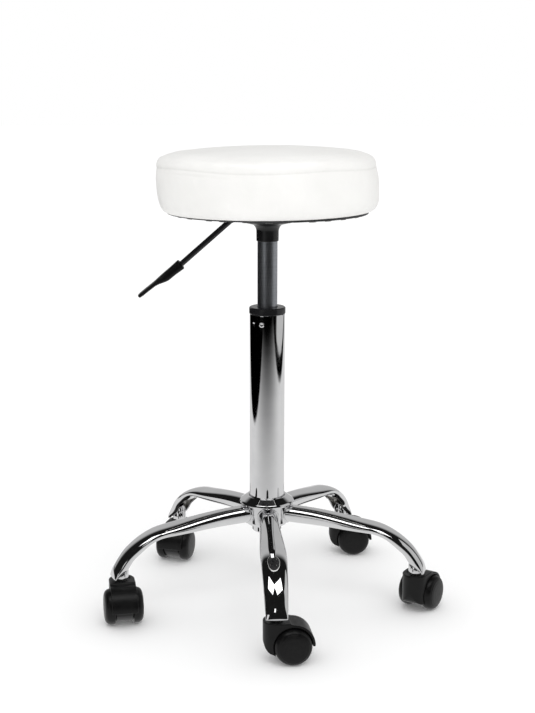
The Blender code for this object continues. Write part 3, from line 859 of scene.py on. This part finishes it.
# Cup section from its rim, down outside the collar and back up inside
SOCKET_PROFILE = (
    (0.0403, 0.5627), (0.0425, 0.5627), (0.0425, 0.5555), (0.0410, 0.5535), (0.0337, 0.5520),
    (0.0200, 0.5487), (0.0170, 0.5450), (0.0157, 0.5412), (0.0155, 0.5262), (0.0150, 0.5257),
    (0.0143, 0.5257), (0.0143, 0.5484), (0.0190, 0.5512), (0.0330, 0.5545), (0.0395, 0.5562),
    (0.0403, 0.5570),
)
EAR_WIDTH = 0.003
EAR_GAP = 0.005
LEVER_BEND = 0.012
LEVER_TIP_X = 0.0023
HANDLE_GRIP = 0.0125
HANDLE_ROWS = 90
HANDLE_SIDES = 48
HANDLE_POWER = 3.0
HANDLE_FRONT_ROUND = 0.0022
HANDLE_END_ROUND = 0.0016


def box_object(name, low, high):
    shape = bmesh.new()
    low = Vector(low)
    high = Vector(high)
    bmesh.ops.create_cube(shape, size=1, matrix=Matrix.LocRotScale((low + high) / 2, None, high - low))
    return loose_object(name, mesh_from(name, shape, BLACK_METAL, smooth=False))


def make_seat_socket():
    """Pressed cup under the seat, with the lever's ears and slot."""
    section = rounded(SOCKET_PROFILE, 1.2 * MM, closed=True)
    socket = loose_object("socket_body", lathe("socket_body", section, 96, BLACK_METAL, closed=True))
    x, z = LEVER_PIVOT.x, LEVER_PIVOT.z
    ears = [box_object("ear", (x - 0.005, y, 0.5512), (x + 0.005, y + EAR_WIDTH, 0.5615))
            for y in (-EAR_GAP - EAR_WIDTH, EAR_GAP)]
    cuts = [
        box_object("slot", (-0.0520, -0.0046, 0.5485), (-0.0100, 0.0046, 0.5640)),
        solid_rod("ear_bore", (x, -0.012, z), (x, 0.012, z), 0.0024, 24),
    ]
    for tool in ears:
        boolean(socket, tool, "UNION")
    for tool in cuts:
        boolean(socket, tool, "DIFFERENCE")
    mesh = baked(socket)
    for item in [socket] + ears + cuts:
        bpy.data.objects.remove(item)
    mesh.shade_smooth()
    mesh.set_sharp_from_angle(angle=math.radians(40))
    add_piece("black_seat_socket", mesh, "seat_socket")


def lever_route():
    """Level over the release pin, then one smooth bend down towards the handle."""
    corner_x = HANDLE_START.x + (LEVER_PIVOT.z - HANDLE_START.z) / math.tan(LEVER_SLOPE)
    start = Vector((corner_x + LEVER_BEND * math.tan(LEVER_SLOPE / 2), 0, LEVER_PIVOT.z - LEVER_BEND))
    curve = [start + Vector((-math.sin(a), 0, math.cos(a))) * LEVER_BEND
             for a in (LEVER_SLOPE * i / 16 for i in range(17))]
    down = Vector((-math.cos(LEVER_SLOPE), 0, -math.sin(LEVER_SLOPE)))
    end = HANDLE_START + down * HANDLE_GRIP
    straight = [curve[-1].lerp(end, i / 12) for i in range(1, 13)]
    level = [Vector((x, 0, LEVER_PIVOT.z)) for x in (LEVER_TIP_X, -0.030)]
    return level + curve + straight


def make_lever():
    """Release lever: a bent rod with a rounded tip, and its flattened handle."""
    route = lever_route()
    tips = [route[0] + Vector((0.0002, 0, 0))] + route
    radii = [LEVER_RADIUS * share for share in (0.88, 0.98)] + [LEVER_RADIUS] * (len(route) - 1)
    add_piece("black_lever_rod", tube_mesh("lever_rod", tips, radii, GLOSS_BLACK, 40), "lever_rod")
    mesh = handle_mesh()
    mesh.set_sharp_from_angle(angle=math.radians(50))
    add_piece("moulded_lever_handle", mesh, "lever_handle")


def handle_mesh():
    """Rounded sections along the handle, drawn in at both ends."""
    table = np.array(HANDLE_STATIONS)
    length = table[-1, 0]
    at = (0.5 - 0.5 * np.cos(np.linspace(0, math.pi, HANDLE_ROWS))) * length
    upper, lower, width = (np.interp(at, table[:, 0], table[:, column]) for column in (1, 2, 3))
    kernel = np.ones(7) / 7
    for row in (upper, lower, width):
        row[3:-3] = np.convolve(row, kernel, mode="valid")
    along = Vector((-math.cos(HANDLE_SLOPE), 0, -math.sin(HANDLE_SLOPE)))
    above = Vector((-math.sin(HANDLE_SLOPE), 0, math.cos(HANDLE_SLOPE)))
    shape = bmesh.new()
    rows = []
    for distance, high, low, wide in zip(at, upper, lower, width):
        inset = 0.55 + 0.45 * min(1, math.sqrt(max(distance, 0) / HANDLE_FRONT_ROUND) + 0.35)
        inset *= min(1, math.sqrt(max(length - distance, 0) / HANDLE_END_ROUND) * 0.6 + 0.4)
        middle = HANDLE_START + along * float(distance) + above * float((high + low) / 2)
        row = []
        for angle in circle(HANDLE_SIDES):
            across, up = superellipse(angle, HANDLE_POWER)
            sideways = Vector((0, wide / 2 * across * inset, 0))
            row.append(shape.verts.new(middle + sideways + above * float((high - low) / 2 * up * inset)))
        rows.append(row)
    bridge_rows(shape, rows)
    return mesh_from("lever_handle", shape, BLACK_PLASTIC)


make_seat_socket()
make_lever()

# ---- seat

SEAM_RADIUS = 0.1501
SEAM_HEIGHT = 0.6275
BAND_BOTTOM = 0.5680
SEAM_INFLUENCE = 0.030
FLAT_RADIUS = 0.12
CLOSING_HEIGHT = 0.5778
CLOSING_SHARE = 0.985
LEAN = -0.068
LEAN_HEIGHT = 0.609
TILT = 0.012
SEAT_SHIFT = -0.5 * MM
FULLNESS = 1.0075
CUSHION_SIDES = 216
CLOTH_FRAMES = 20
CLOTH = {
    "quality": 6, "mass": 0.25, "tension_stiffness": 30, "compression_stiffness": 12, "shear_stiffness": 8,
    "bending_stiffness": 2.5, "use_pressure": True, "uniform_pressure_force": 4.0, "shrink_min": -0.025,
    "vertex_group_mass": "held", "pin_stiffness": 2.0,
}
TIGHTNESS = 2.0 * MM
SOFTNESS = 0.35
LARGEST_DENT = 0.6 * MM
GROOVE_DEPTH = 0.65 * MM
GROOVE_WIDTH = 1.3 * MM
WELT_HEIGHT = 0.2 * MM
WELT_OFFSET = 4.2 * MM
WELT_WIDTH = 2.4 * MM
CREASE_DEPTH = 0.6 * MM
CREASE_OFFSET = -6.2 * MM
CREASE_WIDTH = 1.6 * MM
CREASE_FADES_IN = (-66, -46)
CREASE_FADES_OUT = (-30, -10)
STITCHES = 74
SHADE_WIDTH = 1.1 * MM
CROWN_RADIUS = 0.135

# Cushion section from the crown to the seam, and from the seam to the edge under the seat
CROWN = (
    (0.0001, 0.6560), (0.020, 0.6560), (0.040, 0.6558), (0.062, 0.6549), (0.085, 0.6534),
    (0.104, 0.6517), (0.118, 0.6500), (0.129, 0.6481), (0.138, 0.6453), (0.1446, 0.6420),
    (0.1479, 0.6383), (0.1494, 0.6342),
)
BAND = (
    (0.1504, 0.6245), (0.1515, 0.6190), (0.1521, 0.6110), (0.1522, 0.6020), (0.1519, 0.5930),
    (0.1511, 0.5840), (0.1496, 0.5775), (0.1468, 0.5722), (0.1430, 0.5690), (0.1390, 0.5680),
)


def seam_rise(angle):
    """How far the hand-sewn seam wanders above its lowest point in front; angle 0 is the front."""
    left = 4.6 * MM * math.exp(-((angle + math.radians(52)) / math.radians(30)) ** 2)
    right = 2.4 * MM * math.exp(-((angle - math.radians(32)) / math.radians(20)) ** 2)
    back = 2.0 * MM * (0.5 - 0.5 * math.cos(angle)) ** 2
    return left + right + back


def dense(points, spacing):
    """Extra profile points along a smooth curve through the given ones."""
    table = np.array(points)
    travel = np.concatenate(([0], np.cumsum(np.hypot(*np.diff(table, axis=0).T))))
    at = np.linspace(0, travel[-1], max(2, int(travel[-1] / spacing)))
    return list(zip(cubic_spline(travel, table[:, 0], at), cubic_spline(travel, table[:, 1], at)))


def cushion_profile():
    seam = (SEAM_RADIUS, SEAM_HEIGHT)
    return dense(CROWN + (seam,), 3.2 * MM), dense((seam,) + BAND, 2.6 * MM)[1:]


def simulate_cover(mesh):
    """Blow the cover up a little from a tighter shape, held at the seam and along its lower edge.

    Returns how far each point ends from where it began."""
    start = np.array([vert.co for vert in mesh.vertices])
    trial = loose_object("cover_trial", mesh.copy())
    held = trial.vertex_groups.new(name="held")
    for vert in trial.data.vertices:
        angle = math.atan2(vert.co.x, -vert.co.y)
        off_seam = abs(vert.co.z - SEAM_HEIGHT - seam_rise(angle))
        off_seam += abs(vert.co.xy.length - SEAM_RADIUS)
        near_seam = 1 - smoothstep(off_seam, 1.0 * MM, 7.0 * MM)
        near_edge = 1 - smoothstep(vert.co.z, BAND_BOTTOM, BAND_BOTTOM + 3 * MM)
        held.add([vert.index], max(near_seam, near_edge), "REPLACE")
        rough = noise.noise(vert.co * 42) * 0.9 * MM + noise.noise(vert.co * 95) * 0.4 * MM
        free = 1 - max(near_seam, near_edge)
        vert.co += vert.normal * (rough - TIGHTNESS) * free
    cloth = trial.modifiers.new("cover", "CLOTH")
    for name, value in CLOTH.items():
        setattr(cloth.settings, name, value)
    cloth.settings.effector_weights.gravity = 0
    cloth.collision_settings.use_collision = False
    scene = bpy.context.scene
    scene.frame_start = 1
    scene.frame_end = CLOTH_FRAMES
    for step in range(1, CLOTH_FRAMES + 1):
        scene.frame_set(step)
    result = baked(trial)
    end = np.array([vert.co for vert in result.vertices])
    scene.frame_set(1)
    bpy.data.objects.remove(trial)
    return end - start


def cover_mesh():
    """The cover's outside, with its seam wandering up and down; open underneath."""
    crown, band = cushion_profile()
    shape = bmesh.new()
    rows = []
    for radius, height in crown + band:
        if radius < 0.001:
            rows.append([shape.verts.new((0, 0, height))] * CUSHION_SIDES)
            continue
        near_seam = max(0.0, 1 - abs(height - SEAM_HEIGHT) / SEAM_INFLUENCE) if radius > FLAT_RADIUS else 0.0
        row = []
        for angle in circle(CUSHION_SIDES):
            lift = seam_rise(angle if angle <= math.pi else angle - 2 * math.pi) * near_seam
            place = (radius * math.sin(angle), -radius * math.cos(angle), height + lift)
            row.append(shape.verts.new(place))
        rows.append(row)
    for first, second in zip(rows, rows[1:]):
        bridge(shape, first, second, downward=True)
    return mesh_from("seat_cover", shape, VINYL)


def make_cushion():
    mesh = cover_mesh()
    drift = np.zeros((len(mesh.vertices), 3))
    drift = simulate_cover(mesh)
    relax_cover(mesh, drift)
    finish_cover(mesh)


def points_and_normals(mesh):
    points = np.empty(len(mesh.vertices) * 3, np.float32)
    normals = np.empty(len(mesh.vertices) * 3, np.float32)
    mesh.vertices.foreach_get("co", points)
    mesh.vertex_normals.foreach_get("vector", normals)
    return points.reshape(-1, 3), normals.reshape(-1, 3)


def move_points(mesh, points):
    mesh.vertices.foreach_set("co", np.ascontiguousarray(points, np.float32).ravel())
    mesh.update()


def relax_cover(mesh, drift):
    """Keep the section, and take from the simulation what varies round it: soft dents and puckers."""
    points, normals = points_and_normals(mesh)
    amount = np.einsum("ij,ij->i", drift, normals)
    ring = amount[1:].reshape(-1, CUSHION_SIDES)
    dents = SOFTNESS * (ring - ring.mean(axis=1, keepdims=True))
    amount[1:] = np.clip(dents, -LARGEST_DENT, LARGEST_DENT).ravel()
    amount *= np.clip(np.hypot(points[:, 0], points[:, 1]) / 0.09, 0, 1) ** 2
    move_points(mesh, points + normals * amount[:, None])


def bell(value, width):
    return math.exp(-(value / width) ** 2)


def sew_seam(mesh):
    """Press in the seam, its welt and the crease beside it; returns the painted shade for each point,
    darkest in the seam's groove and fainter in the crease.
    """
    points, normals = points_and_normals(mesh)
    shade = np.zeros(len(points), np.float32)
    for index, (x, y, z) in enumerate(points.tolist()):
        if math.hypot(x, y) < CROWN_RADIUS:
            continue
        angle = math.atan2(x, -y)
        off = z - (SEAM_HEIGHT + seam_rise(angle))
        pucker = 1 + 0.35 * math.sin(angle * STITCHES + 2.0 * math.sin(angle * 5))
        pucker += 0.4 * noise.noise(Vector((angle * 9, 7.7, 0)))
        groove = GROOVE_DEPTH * pucker * bell(off, GROOVE_WIDTH)
        welt = WELT_HEIGHT * bell(off - WELT_OFFSET, WELT_WIDTH)
        reach = smoothstep(math.degrees(angle), *CREASE_FADES_IN)
        reach *= 1 - smoothstep(math.degrees(angle), *CREASE_FADES_OUT)
        crease = reach * bell(off - CREASE_OFFSET, CREASE_WIDTH)
        points[index] -= normals[index] * (groove + CREASE_DEPTH * crease - welt)
        # Painted shade: darker along the seam's groove and in the crease, where shade falls.
        shade[index] = 0.34 * bell(off, SHADE_WIDTH) + 0.1 * crease
    move_points(mesh, points)
    return shade


def close_under(mesh):
    """Turn the cover's lower edge up under the seat and close it."""
    shape = bmesh.new()
    shape.from_mesh(mesh)
    rim = [edge for edge in shape.edges if edge.is_boundary]
    grown = bmesh.ops.extrude_edge_only(shape, edges=rim)
    lifted = [item for item in grown["geom"] if isinstance(item, bmesh.types.BMVert)]
    for vert in lifted:
        vert.co = Vector((vert.co.x * CLOSING_SHARE, vert.co.y * CLOSING_SHARE, CLOSING_HEIGHT))
    bmesh.ops.holes_fill(shape, edges=[edge for edge in shape.edges if edge.is_boundary])
    bmesh.ops.recalc_face_normals(shape, faces=shape.faces)
    shape.to_mesh(mesh)
    shape.free()


def finish_cover(mesh):
    """Subdivide the cover, sew the seam into it, lean it, close it underneath and add it to the scene."""
    cover = loose_object("cover_fine", mesh)
    finer = cover.modifiers.new("finer", "SUBSURF")
    finer.levels = 1
    finer.render_levels = 1
    fine = baked(cover)
    bpy.data.objects.remove(cover)
    shade = sew_seam(fine)
    points = points_and_normals(fine)[0]
    points[:, :2] *= FULLNESS
    points[:, 0] += LEAN * (points[:, 2] - LEAN_HEIGHT) + SEAT_SHIFT
    points[:, 2] += TILT * points[:, 0]
    move_points(fine, points)
    # Stores the painted seam shade, which darkens the vinyl's colour.
    fine.attributes.new("seam_shade", "FLOAT", "POINT").data.foreach_set("value", shade)
    close_under(fine)
    fine.shade_smooth()
    fine.set_sharp_from_angle(angle=math.radians(55))
    cushion = add_piece("vinyl_seat_cushion", fine, "seat_cushion")


CLOTH_OPENING = 0.0452
CLOTH_STEPS = 36
CLOTH_SAG = 0.4 * MM
CLOTH_SLACK = 0.35 * MM
STAPLE_COUNT = 30
STAPLE_SIZE = (0.0012, 0.0100, 0.0006)


def make_dust_cover():
    """Black cloth under the seat, slightly slack, held by a ring of staples."""
    low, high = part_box("dust_cover")
    radius = high.x
    reach = radius - 0.0022 - CLOTH_OPENING
    profile = [(CLOTH_OPENING, high.z - 0.0002)]
    for step in range(CLOTH_STEPS + 1):
        sag = CLOTH_SAG * math.sin(math.pi * step / CLOTH_STEPS)
        profile.append((CLOTH_OPENING + reach * step / CLOTH_STEPS, low.z - sag))
    profile += [
        (radius - 0.0008, low.z + 0.0003), (radius - 0.0001, low.z + 0.0012), (radius, high.z + 0.0022),
        (radius - 0.0006, high.z + 0.0022), (radius - 0.0008, low.z + 0.0016),
        (radius - 0.0022, high.z - 0.0003),
    ]
    mesh = lathe("dust_cover", profile, 180, DUST_CLOTH, closed=True)
    for vert in mesh.vertices:
        if vert.co.z < high.z - 0.0006:
            vert.co.z -= max(0.0, noise.noise(vert.co * 55) * CLOTH_SLACK)
    add_piece("cloth_dust_cover", mesh, "dust_cover")
    staples = bmesh.new()
    size = Matrix.Diagonal((*STAPLE_SIZE, 1))
    at = Matrix.Translation((radius - 0.0045, 0, low.z - 0.0007))
    for index in range(STAPLE_COUNT):
        angle = 2 * math.pi * (index + 0.5) / STAPLE_COUNT + 0.03 * math.sin(index * 2.4)
        turn = Matrix.Rotation(angle, 4, "Z")
        bmesh.ops.create_cube(staples, size=1, matrix=turn @ at @ size)
    bmesh.ops.bevel(staples, geom=staples.edges[:], offset=0.00022, segments=2, affect="EDGES")
    add_piece("dust_cover_staples", mesh_from("staples", staples, ZINC), "dust_cover", stands_for=False)


make_cushion()
make_dust_cover()

# ---- studio

FLOOR_SIZE = 40
PAPER_SIZE = 14
WHITE = (1, 1, 1, 1)


def glow_material(name, strength):
    """White light from a surface; gives the material, its graph and the strength socket."""
    material = bpy.data.materials.new(name)
    material.use_nodes = True
    graph = Graph(material.node_tree)
    graph.nodes.clear()
    glow = graph.add("Emission", {"Color": WHITE, "Strength": strength})
    graph.add("OutputMaterial", {"Surface": glow.outputs["Emission"]})
    return material, graph, glow.inputs["Strength"]


def rectangle(name, center, size_x, size_y, facing=None):
    """A flat card with its face turned towards a point, or upwards."""
    shape = bmesh.new()
    bmesh.ops.create_grid(shape, x_segments=1, y_segments=1, size=0.5)
    mesh = bpy.data.meshes.new(name)
    shape.to_mesh(mesh)
    shape.free()
    card = loose_object(name, mesh)
    turn = Matrix.Identity(4)
    if facing is not None:
        turn = (Vector(facing) - Vector(center)).to_track_quat("Z", "Y").to_matrix().to_4x4()
    card.matrix_world = Matrix.Translation(center) @ turn @ Matrix.Diagonal((size_x, size_y, 1, 1))
    return card


def only_reflected(card):
    """Seen in polished surfaces, and by nothing else."""
    for ray in ("camera", "diffuse", "shadow", "transmission"):
        setattr(card, "visible_" + ray, False)


def make_floor():
    """White paper with a painted glow: its emission rises from 0.05 within 0.15 m of the stool to 0.14
    beyond 0.9 m, so that it burns out to pure white.
    """
    floor = rectangle("studio_floor", (0, 0, 0), FLOOR_SIZE, FLOOR_SIZE)
    floor.visible_glossy = False
    paper = Paint("white_paper", (0.93, 0.93, 0.93), 0.9)
    paper.put("Specular IOR Level", 0.0)
    paper.put("Emission Color", WHITE)
    distance = paper.add("VectorMath", {0: paper.coords}, operation="LENGTH")
    near_and_far = (0.15 / FLOOR_SIZE, 0.9 / FLOOR_SIZE)
    # Painted light: the paper glows, dimmer near the stool and brighter away from it.
    painted_glow = paper.spread(distance.outputs["Value"], near_and_far, (0.05, 0.14), smooth=True)
    paper.put("Emission Strength", painted_glow)
    floor.data.materials.append(paper.material)


def make_floor_reflection():
    """The paper roll as chrome sees it: 2.4 m wide and dimmer away from the stool."""
    card = rectangle("paper_reflection", (0, 0, 0.0002), PAPER_SIZE, PAPER_SIZE)
    material, graph, strength = glow_material("paper_glow", 1.0)
    split = graph.add("SeparateXYZ", {"Vector": graph.add("TexCoord").outputs["Object"]})
    across = graph.math("MULTIPLY", split.outputs["X"], PAPER_SIZE)
    away = graph.math("MULTIPLY", split.outputs["Y"], PAPER_SIZE)
    left = graph.spread(across, (-1.06, -0.98), smooth=True)
    right = graph.spread(across, (1.36, 1.48), (1, 0), smooth=True)
    near = graph.spread(away, (-2.1, 0.1), smooth=True)
    paper = graph.math("MULTIPLY", graph.math("MULTIPLY", left, right), near)
    side = graph.spread(across, (1.70, 1.80), smooth=True)
    behind = graph.spread(away, (-1.3, -0.7), smooth=True)
    beyond = graph.math("MULTIPLY", side, behind)
    lit = graph.math("MULTIPLY", paper, 0.72)
    graph.feed(strength, graph.math("ADD", lit, graph.math("MULTIPLY", beyond, 0.55)))
    card.data.materials.append(material)
    only_reflected(card)


def softbox(name, center, size_x, size_y, strength, facing=(0, 0, 0.3)):
    card = rectangle(name, center, size_x, size_y, facing)
    card.data.materials.append(glow_material(name + "_glow", strength)[0])
    only_reflected(card)


def make_world():
    """Even white light for the set; polished surfaces see a dark room with a grey wall behind."""
    world = bpy.data.worlds.new("studio")
    bpy.context.scene.world = world
    world.use_nodes = True
    graph = Graph(world.node_tree)
    graph.nodes.clear()
    white = graph.add("Background", {"Color": WHITE, "Strength": 1.0})
    split = graph.add("SeparateXYZ", {"Vector": graph.add("TexCoord").outputs["Generated"]})
    wall = graph.spread(split.outputs["Y"], (0.50, 0.76), (0.012, 0.62), smooth=True)
    room = graph.add("Background", {"Strength": wall})
    polished = graph.add("LightPath").outputs["Is Glossy Ray"]
    views = {"Fac": polished, 1: white.outputs["Background"], 2: room.outputs["Background"]}
    graph.add("OutputWorld", {"Surface": graph.add("MixShader", views).outputs["Shader"]})


def make_lamp(name, center, size, power, target):
    data = bpy.data.lights.new(name, "AREA")
    data.shape = "RECTANGLE"
    data.size, data.size_y = size
    data.energy = power
    lamp = bpy.data.objects.new(name, data)
    bpy.context.scene.collection.objects.link(lamp)
    turn = (Vector(center) - Vector(target)).to_track_quat("Z", "Y").to_matrix().to_4x4()
    lamp.matrix_world = Matrix.Translation(center) @ turn
    lamp.visible_glossy = False


make_floor()
make_floor_reflection()
make_world()
softbox("left_softbox", (-0.73, -1.0, 2.4), 1.36, 1.0, 2.4)
softbox("right_softbox", (0.69, -1.0, 2.4), 1.28, 1.0, 2.4)
softbox("side_reflector", (1.85, -0.05, 0.9), 1.7, 1.8, 0.55, facing=(0, -0.05, 0.9))
softbox("far_strip", (-1.76, -2.43, 0.45), 1.1, 0.9, 0.8, facing=(0, 0, 0.45))
softbox("strip_over_camera", (0.0, -4.0, 2.2), 0.45, 0.9, 1.6)
make_lamp("key", (0.3, -1.6, 2.3), (1.6, 1.4), 11, (0, 0, 0.4))
bpy.context.scene.view_settings.view_transform = "Standard"
bpy.context.scene.view_settings.look = "None"
